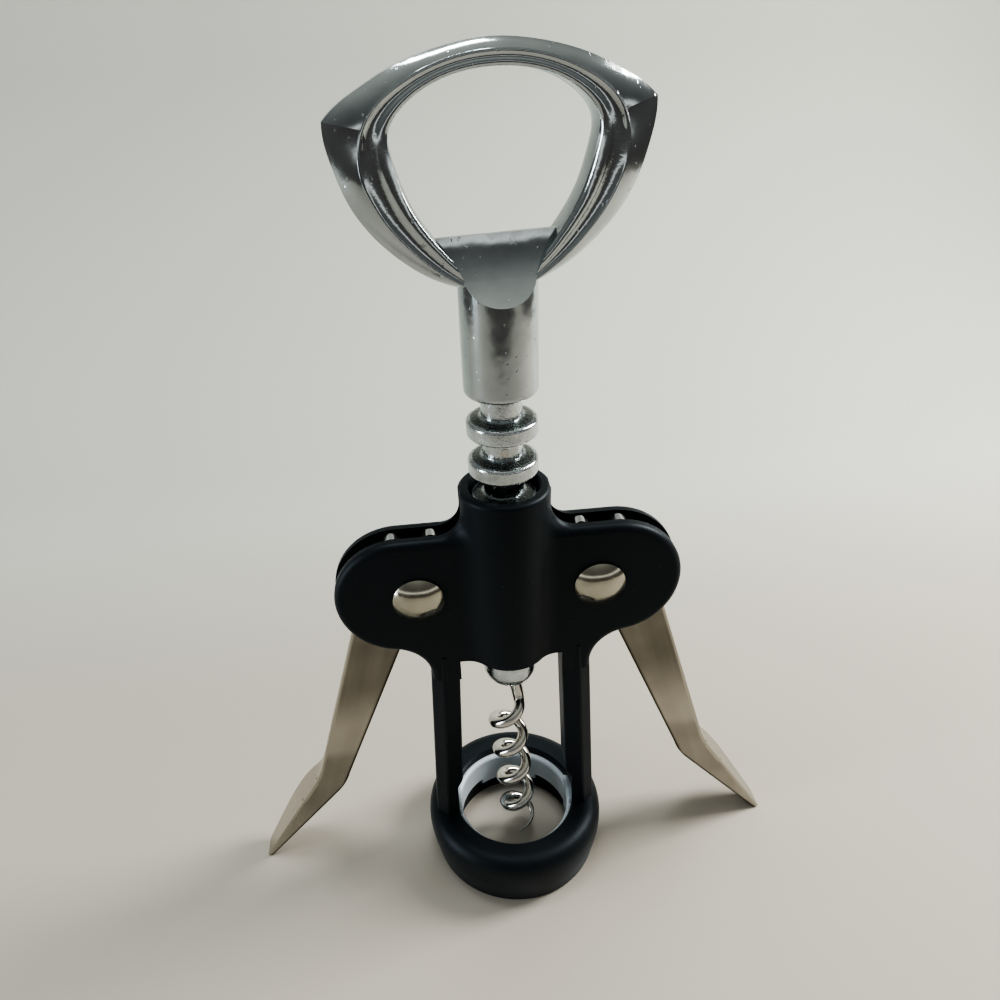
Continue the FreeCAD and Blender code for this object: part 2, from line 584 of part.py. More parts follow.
def outline(places):
    """Smooth curve through places given as (x, height above the loop's foot)."""
    curve = Part.BSplineCurve()
    curve.interpolate([V(x, 0, LOOP_FOOT_Z + height) for x, height in places])
    return curve


def over_top(places):
    """The same places and their mirror images, from the right over the top to the left."""
    return places + tuple((-x, height) for x, height in places[-2::-1])


def along_loop(section, inside, outside, start, end, steps):
    """Loft of sections square to the opening's edge, each as wide as the outside lines allow."""
    def cut_at(parameter):
        inner = inside.value(parameter)
        along = inside.tangent(parameter)[0]
        outwards = V(along.z, 0, -along.x)
        reach = Part.makeLine(inner, inner + outwards * LOOP_TOP)
        width = (outside.distToShape(reach)[1][0][0] - inner).Length
        low = LOOP_FOOT_Z + HORN - THINNING
        rise = max(0.0, (inner.z - low) / (LOOP_FOOT_Z + LOOP_TOP - LOOP_TOP_BAND - low))
        share = rise * rise * (3 - 2 * rise)
        ridge = min(ARM_RIDGE + (TOP_RIDGE - ARM_RIDGE) * share, 0.6 * width)

        def at(u, height, side):
            place = inner + outwards * u
            return (place.x, side * height, place.z)

        return section(at, (ARM_T + (TOP_T - ARM_T) * share) / 2, ridge, width)

    return Part.makeLoft([cut_at(start + (end - start) * i / steps) for i in range(steps + 1)], True, False)


def feet_room():
    """Block between the arms' feet, where the cap lifter's two faces lie bare."""
    right = [(x, 0, LOOP_FOOT_Z + height) for x, height in FOOT_IN]
    left = [(-x, 0, z) for x, _, z in right]
    return prism([arc(*right), line(right[-1], left[-1]), arc(*left[::-1]), line(left[0], right[0])],
                 -ARM_T, ARM_T)


def loop():
    """Finger loop: bead, channel and ridge run round the opening, the band outside has its two horns."""
    inside = outline(over_top(INSIDE))
    start = inside.FirstParameter
    end = inside.LastParameter
    horn = inside.parameter(V(HORN_X, 0, LOOP_FOOT_Z + HORN))
    far_horn = start + end - horn
    arm_line = outline(ARM_OUTSIDE).toShape()
    arch_line = outline(over_top(ARCH_OUTSIDE)).toShape()
    whole_line = Part.makeCompound([arm_line, arch_line, arm_line.mirror(V(0, 0, 0), V(1, 0, 0))])
    track = along_loop(track_section, inside, whole_line, start, end, 2 * ARM_STEPS + ARCH_STEPS)
    arm = along_loop(band_section, inside, arm_line, start, horn, ARM_STEPS)
    arch = along_loop(band_section, inside, arch_line, horn, far_horn, ARCH_STEPS)
    return both_sides(arm).fuse([arch, track]).cut(feet_room())


def facet_cutter(side):
    """Dished face of the cap lifter; side is -1 for the front and +1 for the back."""
    low = (0, side * (NECK_R + 1.0), LOOP_FOOT_Z + FACET_BOTTOM - 0.5)
    waist = (0, side * FACET_WAIST_Y, LOOP_FOOT_Z + FACET_WAIST)
    edge_y = side * WEB_EDGE / 2
    far_y = side * 4 * NECK_R
    far_z = LOOP_FOOT_Z + LOOP_TOP
    face = face_of([
        arc(low, waist, (0, edge_y, WEB_TOP_Z + 0.3)),
        line((0, edge_y, WEB_TOP_Z + 0.3), (0, edge_y, far_z)),
        line((0, edge_y, far_z), (0, far_y, far_z)),
        line((0, far_y, far_z), (0, far_y, low[2])),
        line((0, far_y, low[2]), low)])
    cutter = face.extrude(V(4 * WEB_HALF_W, 0, 0))
    cutter.translate(V(-2 * WEB_HALF_W, 0, 0))
    return cutter


def handle_opener():
    neck = revolve([
        line((0, 0, NECK_BOTTOM_Z), (NECK_R - NECK_EDGE_R, 0, NECK_BOTTOM_Z)),
        arc((NECK_R - NECK_EDGE_R, 0, NECK_BOTTOM_Z),
            (NECK_R - NECK_EDGE_R * 0.29, 0, NECK_BOTTOM_Z + NECK_EDGE_R * 0.29),
            (NECK_R, 0, NECK_BOTTOM_Z + NECK_EDGE_R)),
        line((NECK_R, 0, NECK_BOTTOM_Z + NECK_EDGE_R), (NECK_R, 0, WEB_TOP_Z)),
        line((NECK_R, 0, WEB_TOP_Z), (0, 0, WEB_TOP_Z)),
        line((0, 0, WEB_TOP_Z), (0, 0, NECK_BOTTOM_Z))])
    web_z = LOOP_FOOT_Z + WEB_BOTTOM
    foot = FOOT_IN[0][0]
    web = polygon([(-foot, web_z), (foot, web_z),
                   (WEB_HALF_W, WEB_TOP_Z), (-WEB_HALF_W, WEB_TOP_Z)], -NECK_R, NECK_R)
    core = neck.fuse(web).cut([facet_cutter(-1), facet_cutter(1)])
    body = core.fuse(loop())
    socket = Part.makeCylinder(RACK_ROOT_R + SPIGOT_RUN, SPIGOT_L + NECK_FLOOR_GAP,
                               V(0, 0, NECK_BOTTOM_Z))
    shank_hole = Part.makeCylinder(SHANK_R, SPIGOT_L + NECK_FLOOR_GAP + SHANK_IN_NECK,
                                   V(0, 0, NECK_BOTTOM_Z))
    body = body.cut([socket, shank_hole]).removeSplitter()
    body.rotate(V(0, 0, 0), V(0, 0, 1), HANDLE_TURN)
    return body


# ---- levers -------------------------------------------------------------------------------------

def tooth_edges(angle):
    """One rounded gear tooth about the pivot; angle is from straight up towards the spindle."""
    def at(radius, shift):
        a = math.radians(angle) - shift / radius
        return (PIVOT_X - radius * math.sin(a), 0, PIVOT_Z + radius * math.cos(a))

    start_r = GEAR_ROOT_R - TOOTH_SINK
    waist_r = (GEAR_ROOT_R + PITCH_R) / 2
    tip_r = GEAR_TIP_R - TOOTH_ROUND
    root = TOOTH_ROOT_W / 2
    pitch = TOOTH_W / 2
    waist = pitch + 0.4 * (root - pitch)
    tip = TOOTH_TIP_W / 2
    return [
        arc(at(start_r, root), at(waist_r, waist), at(PITCH_R, pitch)),
        line(at(PITCH_R, pitch), at(tip_r, tip)),
        arc(at(tip_r, tip), at(GEAR_TIP_R, 0), at(tip_r, -tip)),
        line(at(tip_r, -tip), at(PITCH_R, -pitch)),
        arc(at(PITCH_R, -pitch), at(waist_r, -waist), at(start_r, -root)),
        line(at(start_r, -root), at(start_r, root))]


def lever_outline(web=0.0, opening=0.0):
    """Arm and hand end, from the hub down to the tip on the table, as a block.

    web moves the outer edge inwards and opening moves the inner edge away, for the room inside the fold.
    """
    def outer(place):
        return (place[0] - web, 0, place[1])

    def inner(place):
        return (place[0] - opening, 0, place[1])

    corner = (HAND_OUT_TIP[0] - web - TIP_CORNER, 0, HAND_IN_TIP[1])
    edges = [
        line(outer(ARM_OUT_TOP), outer(ARM_OUT_KNEE)),
        arc(outer(ARM_OUT_KNEE), outer(KNEE_OUT_MID), outer(HAND_OUT_KNEE)),
        line(outer(HAND_OUT_KNEE), outer(HAND_OUT_TIP)),
        line(outer(HAND_OUT_TIP), corner),
        line(corner, inner(HAND_IN_TIP)),
        line(inner(HAND_IN_TIP), inner(HAND_IN_KNEE)),
        arc(inner(HAND_IN_KNEE), inner(KNEE_IN_MID), inner(ARM_IN_KNEE)),
        line(inner(ARM_IN_KNEE), inner(ARM_IN_TOP)),
        line(inner(ARM_IN_TOP), outer(ARM_OUT_TOP))]
    return prism(edges, -2 * PAD_DEPTH, 2 * PAD_DEPTH)


def pad_side(inset):
    """Side view of the hand end as a bar across X: flat front, leaf-shaped swell to the back."""
    front = -LEVER_T / 2 + inset
    back = PAD_DEPTH - LEVER_T / 2 - inset
    ply = LEVER_T / 2 - inset
    swell = PAD_START_Z - PAD_WIDEST_Z
    below = -0.5
    edges = [
        spline([(0, ply, PAD_START_Z), (0, 0.3 * back + 0.4, PAD_START_Z - swell / 3),
                (0, 0.78 * back, PAD_START_Z - 0.65 * swell), (0, back, PAD_WIDEST_Z),
                (0, 0.82 * back, PAD_WIDEST_Z / 2), (0, 0.42 * back, below)]),
        line((0, 0.42 * back, below), (0, front, below)),
        line((0, front, below), (0, front, PAD_START_Z))]
    if ply > front:
        edges.append(line((0, front, PAD_START_Z), (0, ply, PAD_START_Z)))
    bar = face_of(edges).extrude(V(HAND_OUT_TIP[0], 0, 0))
    bar.translate(V(ARM_IN_TOP[0], 0, 0))
    return bar


def hand_end():
    """Folded sheet: front ply, web along the outer edge and swelling back ply, open inwards."""
    shell = lever_outline().common(pad_side(0.0))
    room = lever_outline(PAD_WEB_T, PAD_OPEN).common(pad_side(SHEET_T))
    return shell.cut(room)


def slit(z):
    """Short relief cut across the fold, on the hand end's outer edge."""
    rise = (HAND_OUT_KNEE[1] - z) / (HAND_OUT_KNEE[1] - HAND_OUT_TIP[1])
    x = HAND_OUT_KNEE[0] + rise * (HAND_OUT_TIP[0] - HAND_OUT_KNEE[0])
    return Part.makeBox(SLIT_DEPTH, SLIT_W, SLIT_W, V(x - SLIT_DEPTH / 2, -SLIT_W / 2, z - SLIT_W / 2))


def lever():
    """Right lever at rest, hanging with its tip on the table."""
    hub = Part.makeCylinder(GEAR_ROOT_R, LEVER_T, V(PIVOT_X, -LEVER_T / 2, PIVOT_Z), V(0, 1, 0))
    teeth = [prism(tooth_edges(TOOTH_LAST - i * TOOTH_STEP), -LEVER_T / 2, LEVER_T / 2)
             for i in range(TEETH)]
    plies = Part.makeBox(2 * HAND_OUT_TIP[0], LEVER_T, 2 * PIVOT_Z, V(0, -LEVER_T / 2, PAD_START_Z))
    arm = lever_outline().common(plies)
    hole = Part.makeCylinder(RIVET_R + PIVOT_RUN, 2 * LEVER_T, V(PIVOT_X, -LEVER_T, PIVOT_Z), V(0, 1, 0))
    body = hub.fuse(teeth + [arm, hand_end()])
    return body.cut([hole] + [slit(z) for z in SLIT_Z]).removeSplitter()


def mirrored(solid):
    return solid.mirror(V(0, 0, 0), V(1, 0, 0))


def write(name, shape):
    solid = shape.Solids[0] if len(shape.Solids) == 1 else shape
    solid.exportStep(os.path.join("parts", name + ".step"))
    box = solid.BoundBox
    print(name, len(shape.Solids), solid.isValid(), round(solid.Volume, 2),
          [round(v, 2) for v in (box.XMin, box.XMax, box.YMin, box.YMax, box.ZMin, box.ZMax)])


os.makedirs("parts", exist_ok=True)
right_lever = lever()
right_rivet = rivet()
write("frame_casting", frame_casting())
write("collar_liner", collar_liner())
write("rack_spindle", rack_spindle())
write("retaining_pin", retaining_pin())
write("worm", worm())
write("handle_opener", handle_opener())
write("lever_right", right_lever)
write("lever_left", mirrored(right_lever))
write("rivet_right", right_rivet)
write("rivet_left", mirrored(right_rivet))
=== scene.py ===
import bpy
from math import pi
from mathutils import Matrix, Vector

# A wing corkscrew standing on its bottle collar with both levers down.  Every piece of it comes from
# the frame, and each section below gives one of them its finish.
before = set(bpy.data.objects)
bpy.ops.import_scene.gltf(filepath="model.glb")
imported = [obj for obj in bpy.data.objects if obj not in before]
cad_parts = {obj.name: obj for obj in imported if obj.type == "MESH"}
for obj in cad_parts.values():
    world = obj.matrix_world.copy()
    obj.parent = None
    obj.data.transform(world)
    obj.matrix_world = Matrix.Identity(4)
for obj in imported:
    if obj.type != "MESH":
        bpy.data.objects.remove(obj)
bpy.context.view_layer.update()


# ---- frame casting: one zinc die casting, with collar, legs, sleeve and the levers' cheeks ----
# It is coated in matte black soft-touch paint, thick enough to round the edges.  The paint has a fine
# grain, holds a little dust, and is paler and duller in cloudy patches.
class Signal:
    """The output of a node.  Sums on it in Python build Math nodes."""

    def __init__(self, wiring, socket):
        self.wiring = wiring
        self.socket = socket

    def sum_node(self, operation, *terms):
        return self.wiring.node("ShaderNodeMath", {"operation": operation}, dict(enumerate(terms)))

    def __add__(self, other):
        return self.sum_node("ADD", self, other)

    def __radd__(self, other):
        return self.sum_node("ADD", other, self)

    def __sub__(self, other):
        return self.sum_node("SUBTRACT", self, other)

    def __rsub__(self, other):
        return self.sum_node("SUBTRACT", other, self)

    def __mul__(self, other):
        return self.sum_node("MULTIPLY", self, other)

    def __rmul__(self, other):
        return self.sum_node("MULTIPLY", other, self)

    def __abs__(self):
        return self.sum_node("ABSOLUTE", self)


class Wiring:
    """The nodes of one material, or of the room."""

    def __init__(self, owner):
        owner.use_nodes = True
        self.tree = owner.node_tree

    def feed(self, socket, value):
        if isinstance(value, Signal):
            self.tree.links.new(value.socket, socket)
        else:
            socket.default_value = value

    def node(self, kind, settings, sockets, output=0):
        made = self.tree.nodes.new(kind)
        for key, value in settings.items():
            if key == "stops":
                self.set_stops(made.color_ramp, value)
            else:
                setattr(made, key, value)
        for key, value in sockets.items():
            self.feed(made.inputs[key], value)
        return Signal(self, made.outputs[output])

    def set_stops(self, ramp, stops):
        while len(ramp.elements) < len(stops):
            ramp.elements.new(0.5)
        for element, (position, colour) in zip(ramp.elements, stops):
            element.position = position
            element.color = colour


class Finish(Wiring):
    """One material: a Principled surface and the patterns that feed it."""

    def __init__(self, name, **constants):
        self.material = bpy.data.materials.new(name)
        super().__init__(self.material)
        self.shader = self.tree.nodes["Principled BSDF"]
        self.place = self.node("ShaderNodeTexCoord", {}, {}, "Object")
        self.surface(**constants)

    def surface(self, **values):
        for socket, value in values.items():
            self.feed(self.shader.inputs[socket.replace("_", " ")], value)

    def along(self, axis):
        """Place along X, Y or Z, in metres."""
        return self.node("ShaderNodeSeparateXYZ", {}, {"Vector": self.place}, axis)

    def cloud(self, place, scale, detail=2.0):
        """Cloudy pattern between 0 and 1."""
        return self.node("ShaderNodeTexNoise", {}, {"Vector": place, "Scale": scale, "Detail": detail})

    def noise(self, size_mm, detail=2.0, stretch=(1, 1, 1)):
        """Cloudy pattern with features of this size."""
        spread = self.node("ShaderNodeMapping", {}, {"Vector": self.place, "Scale": stretch})
        return self.cloud(spread, 1000.0 / size_mm, detail)

    def cut(self, signal, low, high):
        """0 below low, 1 above high and a smooth step between."""
        return self.node("ShaderNodeMapRange", {"interpolation_type": "SMOOTHSTEP"},
                         {"Value": signal, "From Min": low, "From Max": high})

    def between(self, signal, low, high, blend):
        """1 from low to high and 0 outside, with a smooth step of this width inside each end."""
        return self.cut(signal, low, low + blend) * (1.0 - self.cut(signal, high - blend, high))

    def tint(self, share, dark, light):
        """Colour that goes from dark to light as share goes from 0 to 1."""
        # A Mix node takes its two colours at sockets 6 and 7, and gives their mix at output 2.
        return self.node("ShaderNodeMix", {"data_type": "RGBA"},
                         {"Factor": share, 6: dark, 7: light}, 2)

    def relief(self, height, depth_mm, strength=1.0):
        """Surface relief of this depth, for the shader's normal."""
        return self.node("ShaderNodeBump", {}, {"Height": height, "Distance": depth_mm / 1000.0,
                                                "Strength": strength})

    def wear_on(self, *pieces):
        for piece in pieces:
            for slot in piece.material_slots:
                slot.material = self.material


PAINT_BLACK = (0.0018, 0.0030, 0.0046, 1)
PAINT_DUSTY = (0.060, 0.066, 0.072, 1)
PAINT_GLOSS = (0.74, 0.88, 1.0, 1)
PAINT_BLOOM = (0.75, 0.88, 1.0, 1)
black_paint = Finish("black_soft_touch_paint", Specular_IOR_Level=0.34, Specular_Tint=PAINT_GLOSS,
                     Sheen_Weight=0.11, Sheen_Roughness=0.35, Sheen_Tint=PAINT_BLOOM)
paint_grain = black_paint.noise(0.35, detail=3.0)
paint_cloud = black_paint.noise(14.0, detail=3.0)
paint_dust = black_paint.cut(black_paint.noise(1.3, detail=1.0), 0.76, 0.82)
black_paint.surface(
    Base_Color=black_paint.tint(0.35 * paint_dust + 0.12 * paint_cloud, PAINT_BLACK, PAINT_DUSTY),
    Roughness=0.40 + 0.12 * paint_cloud + 0.05 * paint_grain,
    Normal=black_paint.relief(paint_grain, 0.03, 0.35))
black_paint.wear_on(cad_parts["frame_casting"])


# ---- collar liner: moulded ring of milky plastic pushed into the collar ----
# It keeps the bottle's lip off the metal.  Light goes a little way into it, so its edges look
# bluish and soft, and use has dulled it in patches.
LINER_SHADE = (0.40, 0.46, 0.51, 1)
LINER_MILK = (0.64, 0.71, 0.77, 1)
milky_plastic = Finish("milky_plastic", Subsurface_Weight=0.55, Subsurface_Radius=(0.9, 1.0, 1.2),
                       Subsurface_Scale=0.0016, Specular_IOR_Level=0.5)
plastic_cloud = milky_plastic.noise(5.0, detail=3.0)
milky_plastic.surface(
    Base_Color=milky_plastic.tint(plastic_cloud, LINER_SHADE, LINER_MILK),
    Roughness=0.32 + 0.16 * plastic_cloud,
    Normal=milky_plastic.relief(milky_plastic.noise(0.8), 0.02, 0.3))
milky_plastic.wear_on(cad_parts["collar_liner"])


# ---- spindle: cast rack of rings on a round core, with a smooth nose ----
# Thin chrome over a casting that was barely polished, so the rims are grainy and the flanks of the rings
# dull.
# The flanks also carry painted shade in their colour, and the nose below them is left bright.
FLANK_IN_R = 0.0045                   # a ring's flank starts just off the core
FLANK_OUT_R = 0.0066                  # and ends short of the rim
FLANK_BLEND = 0.0005
RINGS_FROM = 0.0695                   # the nose lies below this height
RINGS_BLEND = 0.0010
SPINDLE_SHADE = (0.16, 0.175, 0.17, 1)
SPINDLE_BRIGHT = (0.60, 0.65, 0.67, 1)
spindle_chrome = Finish("spindle_chrome", Metallic=1.0)
casting_grain = spindle_chrome.noise(0.55, detail=4.0)
casting_swell = spindle_chrome.noise(3.0)
from_axis = spindle_chrome.node("ShaderNodeVectorMath", {"operation": "MULTIPLY"},
                                {0: spindle_chrome.place, 1: (1, 1, 0)})
radius = spindle_chrome.node("ShaderNodeVectorMath", {"operation": "LENGTH"}, {0: from_axis}, "Value")
# painted shade: the colour is darkened on the flanks between the rings
shaded_flank = (spindle_chrome.between(radius, FLANK_IN_R, FLANK_OUT_R, FLANK_BLEND)
         * spindle_chrome.cut(spindle_chrome.along("Z"), RINGS_FROM, RINGS_FROM + RINGS_BLEND))
spindle_chrome.surface(
    Base_Color=spindle_chrome.tint(casting_swell * (1.0 - 0.8 * shaded_flank) + 0.3 - 0.5 * shaded_flank,
                                   SPINDLE_SHADE, SPINDLE_BRIGHT),
    Roughness=0.13 + 0.20 * spindle_chrome.cut(casting_grain, 0.45, 0.75) + 0.12 * shaded_flank,
    Normal=spindle_chrome.relief(0.7 * casting_grain + casting_swell, 0.16, 0.55))
spindle_chrome.wear_on(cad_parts["rack_spindle"])


# ---- retaining pin: short steel peg driven through the spindle's wall ----
# It is bare drawn steel, cut to length.  Its inner end rides in a groove round the worm's shank, so
# the worm turns in the spindle and can't drop out.
PEG_DARK = (0.45, 0.44, 0.42, 1)
PEG_LIGHT = (0.66, 0.65, 0.62, 1)
peg_steel = Finish("peg_steel", Metallic=1.0)
peg_steel.surface(
    Base_Color=peg_steel.tint(peg_steel.noise(0.6), PEG_DARK, PEG_LIGHT),
    Roughness=0.22 + 0.1 * peg_steel.noise(0.3))
peg_steel.wear_on(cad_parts["retaining_pin"])


# ---- worm: round steel wire wound into an open helix, ground to a point and plated ----
# Winding has left fine marks, longer along the worm than across it.  The plating over them is bright
# and slightly warm.
WORM_DARK = (0.50, 0.49, 0.46, 1)
WORM_LIGHT = (0.66, 0.65, 0.61, 1)
worm_steel = Finish("worm_steel", Metallic=1.0)
wire_marks = worm_steel.noise(0.9, detail=3.0, stretch=(1, 1, 0.35))
worm_steel.surface(
    Base_Color=worm_steel.tint(worm_steel.noise(4.0), WORM_DARK, WORM_LIGHT),
    Roughness=0.12 + 0.12 * wire_marks,
    Normal=worm_steel.relief(wire_marks, 0.06, 0.4))
worm_steel.wear_on(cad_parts["worm"])


# ---- handle: chromed casting with a round neck, a cap lifter's edge and a finger loop ----
# The plating is bright but follows a slightly wavy casting.  It has fine scuffs from handling, and
# small pits where it has lifted.
HANDLE_SHADE = (0.36, 0.395, 0.405, 1)
HANDLE_BRIGHT = (0.52, 0.565, 0.585, 1)
handle_chrome = Finish("handle_chrome", Metallic=1.0)
wave = handle_chrome.noise(7.0)
scuff = handle_chrome.noise(0.8, detail=4.0, stretch=(1, 1, 0.5))
pits = handle_chrome.cut(handle_chrome.noise(0.9, detail=1.0, stretch=(1, 1, 0.6)), 0.70, 0.80)
handle_chrome.surface(
    Base_Color=handle_chrome.tint(wave, HANDLE_SHADE, HANDLE_BRIGHT),
    Roughness=0.10 + 0.08 * scuff + 0.25 * pits,
    Normal=handle_chrome.relief(wave + 0.05 * scuff - 0.25 * pits, 0.26, 0.5))
handle_chrome.wear_on(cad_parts["handle_opener"])


# ---- levers: sheet steel folded double, with a toothed hub and a leaf-shaped pad for the hand ----
# Satin plating over rolled sheet, with a painted sheen down the arm and a painted highlight on its outer
# edge.  The blank was sheared, and its inner edge carries painted shade; a short strip at the knee is
# pressed flat and has a painted highlight.
ARM_OUTSIDE = (0.3043, 0.06007)       # slope and reach of each straight edge: all along it,
ARM_INSIDE = (0.41837, 0.05587)       # outwards + slope * height comes to the reach
HAND_OUTSIDE = (0.6357, 0.070145)
HAND_INSIDE = (0.90638, 0.06869)
EDGE_W = 0.0009                       # an edge's shine or shade fades out over this width
INNER_SHADE_W = 0.0001                      # the painted shade on the inner edge is at its darkest over this width
STRIP_LOW = 0.0210
STRIP_HIGH = 0.0280
STRIP_OVER = 0.0004                   # the strip laps over the edge by this much
STRIP_W = 0.0011
STRIP_BLEND = 0.0004
GRAIN_STRETCH = 0.06                  # the grain of the rolled sheet runs along the arm
PIVOT_X = 0.0202
PIVOT_Z = 0.0885
TEETH_IN_R = 0.0122                   # the teeth stand on the hub from this radius out to the next
TEETH_OUT_R = 0.0160
TEETH_FROM = 0.080                    # those that the rack has worn lie above this height
SHEEN_FROM = 0.062                   # painted sheen lightens the arm from this height down,
BAND_FROM = 0.040                     # less below this one,
TIP_FROM = 0.022                      # and more again towards the tip
LEVER_DARK_AND_SHADE = (0.040, 0.033, 0.025, 1)
LEVER_SATIN = (0.45, 0.425, 0.37, 1)
LEVER_WORN = (0.66, 0.68, 0.68, 1)
lever_steel = Finish("lever_steel", Metallic=1.0)
outwards = abs(lever_steel.along("X"))
lever_z = lever_steel.along("Z")


def inside_of(edge):
    slope, reach = edge
    return reach - (outwards + slope * lever_z)


def outside_of(edge):
    slope, reach = edge
    return outwards + slope * lever_z - reach


inside_hand = inside_of(HAND_OUTSIDE)
# painted highlight: the colour is lightened along the outer edge, which the relief also rounds
outer_edge_highlight = ((1.0 - lever_steel.cut(inside_of(ARM_OUTSIDE), 0.0, EDGE_W))
              * (1.0 - lever_steel.cut(inside_hand, 0.0, EDGE_W)))
# painted shade: the colour goes to its darkest along the inner edge
off_inner_edge_shade = (lever_steel.cut(outside_of(ARM_INSIDE), INNER_SHADE_W, EDGE_W)
                    * lever_steel.cut(outside_of(HAND_INSIDE), INNER_SHADE_W, EDGE_W))
# painted highlight: the colour is lightened on a short strip at the knee
knee_highlight_strip = (lever_steel.between(inside_hand, -STRIP_OVER, STRIP_W, STRIP_BLEND)
              * lever_steel.between(lever_z, STRIP_LOW, STRIP_HIGH, STRIP_BLEND))
along_grain = lever_steel.node("ShaderNodeCombineXYZ", {}, {"X": outwards + ARM_OUTSIDE[0] * lever_z,
                                                            "Z": GRAIN_STRETCH * lever_z})
brushing = lever_steel.cloud(along_grain, 1600.0)
broad_streak = lever_steel.cloud(along_grain, 260.0)
mottle = lever_steel.noise(11.0, detail=1.5)
from_middle = lever_steel.node("ShaderNodeCombineXYZ", {}, {"X": outwards, "Z": lever_z})
from_pivot = lever_steel.node("ShaderNodeVectorMath", {"operation": "DISTANCE"},
                              {0: from_middle, 1: (PIVOT_X, 0, PIVOT_Z)}, "Value")
worn_teeth = (lever_steel.cut(from_pivot, TEETH_IN_R, TEETH_IN_R + 0.0010)
              * (1.0 - lever_steel.cut(from_pivot, TEETH_OUT_R - 0.0005, TEETH_OUT_R))
              * lever_steel.cut(lever_z, TEETH_FROM, TEETH_FROM + 0.004))
# painted sheen: a lighter band down the arm, weaker below the band's foot and stronger again towards the
# tip
painted_sheen = (lever_steel.cut(SHEEN_FROM - lever_z, 0.0, 0.017)
          * (1.0 - 0.45 * lever_steel.cut(BAND_FROM - lever_z, 0.0, 0.004))
          + 0.35 * lever_steel.cut(TIP_FROM - lever_z, 0.0, 0.010))
# the satin's tone: random mottle and streaks, plus the painted sheen and highlights, times the inner
# edge's painted shade
brightness = (0.05 + 0.40 * mottle + 0.32 * broad_streak + 0.50 * painted_sheen
              + 0.75 * outer_edge_highlight + 0.80 * knee_highlight_strip) * off_inner_edge_shade
satin = lever_steel.tint(brightness, LEVER_DARK_AND_SHADE, LEVER_SATIN)
lever_steel.surface(
    Base_Color=lever_steel.tint(worn_teeth, satin, LEVER_WORN),
    Roughness=0.20 + 0.08 * mottle + 0.03 * brushing,
    Normal=lever_steel.relief(0.03 * brushing + 0.9 * mottle - 1.6 * outer_edge_highlight, 0.30, 0.6))
lever_steel.wear_on(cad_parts["lever_left"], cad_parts["lever_right"])


# ---- rivets: domed heads that the levers turn on ----
# Plated and polished, with fine scratches from handling.  The polishing wheel took a little more off
# towards the rim, so a dome shines as if it were rounder.
RIVET_GREY = (0.37, 0.36, 0.30, 1)
RIVET_LIGHT = (0.50, 0.485, 0.41, 1)
WHEEL_WEAR = 32000.0                  # millimetres off: this by the metres from the crown, squared
rivet_chrome = Finish("rivet_chrome", Metallic=1.0)
rivet_marks = rivet_chrome.noise(0.7, detail=3.0)
aside = abs(rivet_chrome.along("X")) - PIVOT_X
above_pivot = rivet_chrome.along("Z") - PIVOT_Z
from_crown = aside * aside + above_pivot * above_pivot
rivet_chrome.surface(
    Base_Color=rivet_chrome.tint(rivet_chrome.noise(3.0), RIVET_GREY, RIVET_LIGHT),
    Roughness=0.11 + 0.1 * rivet_marks,
    Normal=rivet_chrome.relief(0.006 * rivet_marks - WHEEL_WEAR * from_crown, 1.0))
rivet_chrome.wear_on(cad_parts["rivet_left"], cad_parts["rivet_right"])


# ---- studio: a pale sweep that runs from the floor up into a plain wall close behind ----
# Its paint is a warm grey on the floor and a cool light grey on the wall.  It ends a third of a metre in
# front of the corkscrew, so the chrome also mirrors the dim room there.
SWEEP_W = 0.9
SWEEP_L = 0.77
SWEEP_MIDDLE_Y = 0.015
WALL_H = 0.34
CORNER_R = 0.18
BACK_EDGE_FROM = 0.3                  # only the sweep's back edge lies further back than this
FLOOR_GREY = (0.46, 0.43, 0.38, 1)
WALL_GREY = (0.54, 0.55, 0.51, 1)
bpy.ops.object.select_all(action="DESELECT")
bpy.ops.mesh.primitive_plane_add(size=1.0, location=(0, 0, 0))
sweep = bpy.context.object
sweep.name = "studio_sweep"
sweep.scale = (SWEEP_W, SWEEP_L, 1.0)
sweep.location = (0, SWEEP_MIDDLE_Y, 0)
bpy.ops.object.transform_apply(location=True, rotation=True, scale=True)


def select_edges(piece, wanted):
    bpy.ops.mesh.select_all(action="DESELECT")
    bpy.ops.object.mode_set(mode="OBJECT")
    for edge in piece.data.edges:
        edge.select = all(wanted(piece.data.vertices[i].co) for i in edge.vertices)
    bpy.ops.object.mode_set(mode="EDIT")


bpy.ops.object.mode_set(mode="EDIT")
bpy.ops.mesh.select_mode(type="EDGE")
select_edges(sweep, lambda corner: corner.y > BACK_EDGE_FROM)
bpy.ops.mesh.extrude_region_move(TRANSFORM_OT_translate={"value": (0, 0, WALL_H)})
select_edges(sweep, lambda corner: corner.y > BACK_EDGE_FROM and corner.z < WALL_H / 2)
bpy.ops.mesh.bevel(offset=CORNER_R, segments=24, affect="EDGES")
bpy.ops.mesh.select_all(action="SELECT")
bpy.ops.mesh.normals_make_consistent(inside=False)
bpy.ops.object.mode_set(mode="OBJECT")
bpy.ops.object.shade_smooth()
sweep_paint = Finish("pale_sweep", Roughness=0.8, Specular_IOR_Level=0.2)
towards_wall = sweep_paint.cut(sweep_paint.along("Y"), 0.05, 0.20)
sweep_paint.surface(Base_Color=sweep_paint.tint(towards_wall, FLOOR_GREY, WALL_GREY))
sweep.data.materials.append(sweep_paint.material)


# ---- lamps: three soft boxes, all turned to the middle of the corkscrew ----
# The window stands high at the right, the ceiling panel overhead, and the door's light comes in low
# from the left.
LAMPS_AIM = Vector((0, 0, 0.09))


def soft_light(name, place, width, height, watts, colour):
    lamp = bpy.data.lights.new(name, "AREA")
    lamp.shape = "RECTANGLE"
    lamp.size = width
    lamp.size_y = height
    lamp.energy = watts
    lamp.color = colour
    holder = bpy.data.objects.new(name, lamp)
    bpy.context.scene.collection.objects.link(holder)
    holder.location = place
    holder.rotation_euler = (LAMPS_AIM - Vector(place)).to_track_quat("-Z", "Y").to_euler()


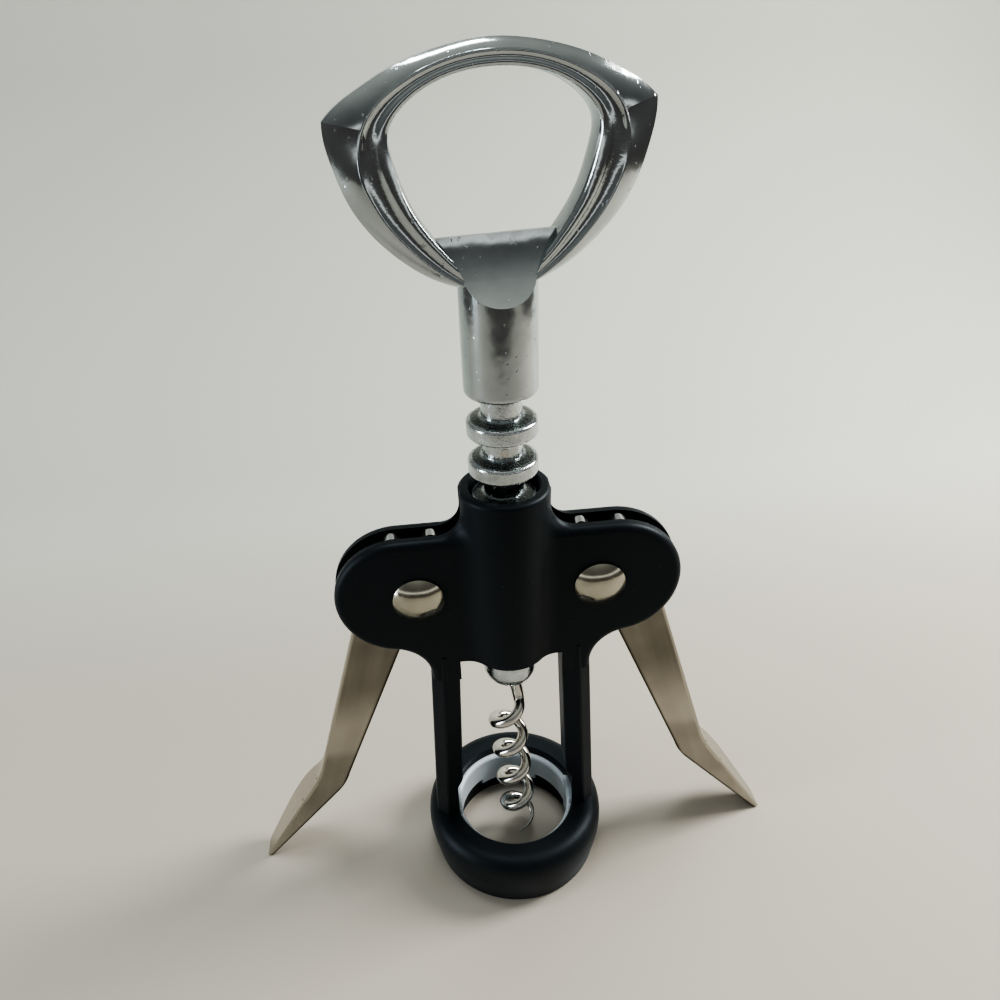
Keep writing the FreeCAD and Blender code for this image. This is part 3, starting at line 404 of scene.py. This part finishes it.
soft_light("window", (0.44, 0.10, 0.38), 0.16, 0.30, 3.4, (1.0, 0.98, 0.94))
soft_light("ceiling", (-0.05, 0.10, 0.9), 0.36, 0.16, 2.6, (0.95, 0.98, 1.0))
soft_light("left_door", (-0.6, -0.15, 0.18), 0.16, 0.4, 1.7, (0.90, 0.96, 1.0))


# ---- room: what the chrome mirrors beyond the sweep ----
# Dim below, a bright band just above eye level, dark over it and lighter towards the ceiling.  The
# picture is developed with high contrast.
ROOM_TONES = (                        # share of the way from straight down to straight up, and tone
    (0.30, (0.10, 0.09, 0.085, 1)),
    (0.51, (0.13, 0.125, 0.12, 1)),
    (0.55, (1.30, 1.28, 1.24, 1)),
    (0.60, (0.12, 0.12, 0.115, 1)),
    (0.76, (0.20, 0.20, 0.195, 1)),
    (0.86, (0.30, 0.31, 0.29, 1)),
    (1.00, (0.52, 0.52, 0.475, 1)))
world = bpy.data.worlds.new("room")
bpy.context.scene.world = world
room = Wiring(world)
towards = room.node("ShaderNodeTexCoord", {}, {}, "Generated")
upwards = room.node("ShaderNodeSeparateXYZ", {}, {"Vector": towards}, "Z")
up_share = room.node("ShaderNodeMapRange", {}, {"Value": upwards, "From Min": -1.0})
tone = room.node("ShaderNodeValToRGB", {"stops": ROOM_TONES}, {"Fac": up_share})
room.feed(room.tree.nodes["Background"].inputs["Color"], tone)
bpy.context.scene.view_settings.look = "AgX - High Contrast"


# ---- camera: a hand-held close view from above, a little left of the middle ----
VIEW_FROM = Vector((-0.01523, -0.14312, 0.19794))
VIEW_YAW = 0.03501
VIEW_DOWN = 0.55181
VIEW_ROLL = -0.06932
lens = bpy.data.cameras.new("camera")
lens.sensor_width = 36.0
lens.lens = 28.556
lens.shift_x = 0.0436
lens.shift_y = 0.0031
lens.clip_start = 0.005
camera = bpy.data.objects.new("camera", lens)
bpy.context.scene.collection.objects.link(camera)
camera.matrix_world = (Matrix.Translation(VIEW_FROM)
                       @ Matrix.Rotation(-VIEW_YAW, 4, "Z")
                       @ Matrix.Rotation(pi / 2 - VIEW_DOWN, 4, "X")
                       @ Matrix.Rotation(VIEW_ROLL, 4, "Z"))
bpy.context.scene.camera = camera
